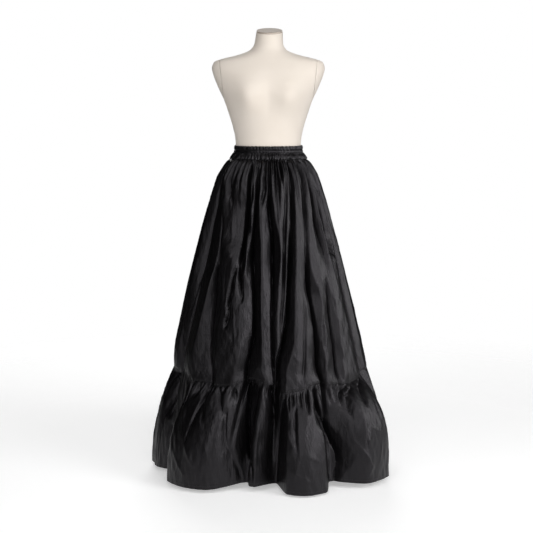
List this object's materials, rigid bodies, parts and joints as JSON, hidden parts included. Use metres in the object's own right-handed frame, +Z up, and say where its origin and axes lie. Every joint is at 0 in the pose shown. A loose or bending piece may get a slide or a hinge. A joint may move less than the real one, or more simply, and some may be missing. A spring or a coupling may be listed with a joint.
{
  "type": "gathered tiered maxi skirt on a limbless dress form",
  "caption": "Full-length gathered maxi skirt in black taffeta with an elastic waistband and a flounced hem tier, worn on a limbless cream dress form with a pole and round base.",
  "frame": {"origin": "centre of the stand's round base on the floor, under the pole", "axes": "+Z up along the pole, -Y towards the front of the skirt, +X towards the wearer's left"},
  "size_m": [0.7815, 0.7626, 1.4667],
  "materials": {
    "taffeta": "soft satin sheen",
    "linen": "matte",
    "neck_cap": "matte",
    "stand": "satin"
  },
  "bodies": {
    "root": {"waistband": "taffeta", "skirt_front": "taffeta", "skirt_back": "taffeta", "hem_tier_front": "taffeta", "hem_tier_back": "taffeta", "form_torso": "linen", "form_armplate_left": "linen", "form_armplate_right": "linen", "form_neck_cap": "neck_cap", "form_socket": "stand", "form_pole": "stand", "form_base": "stand"}
  },
  "joints": []
}
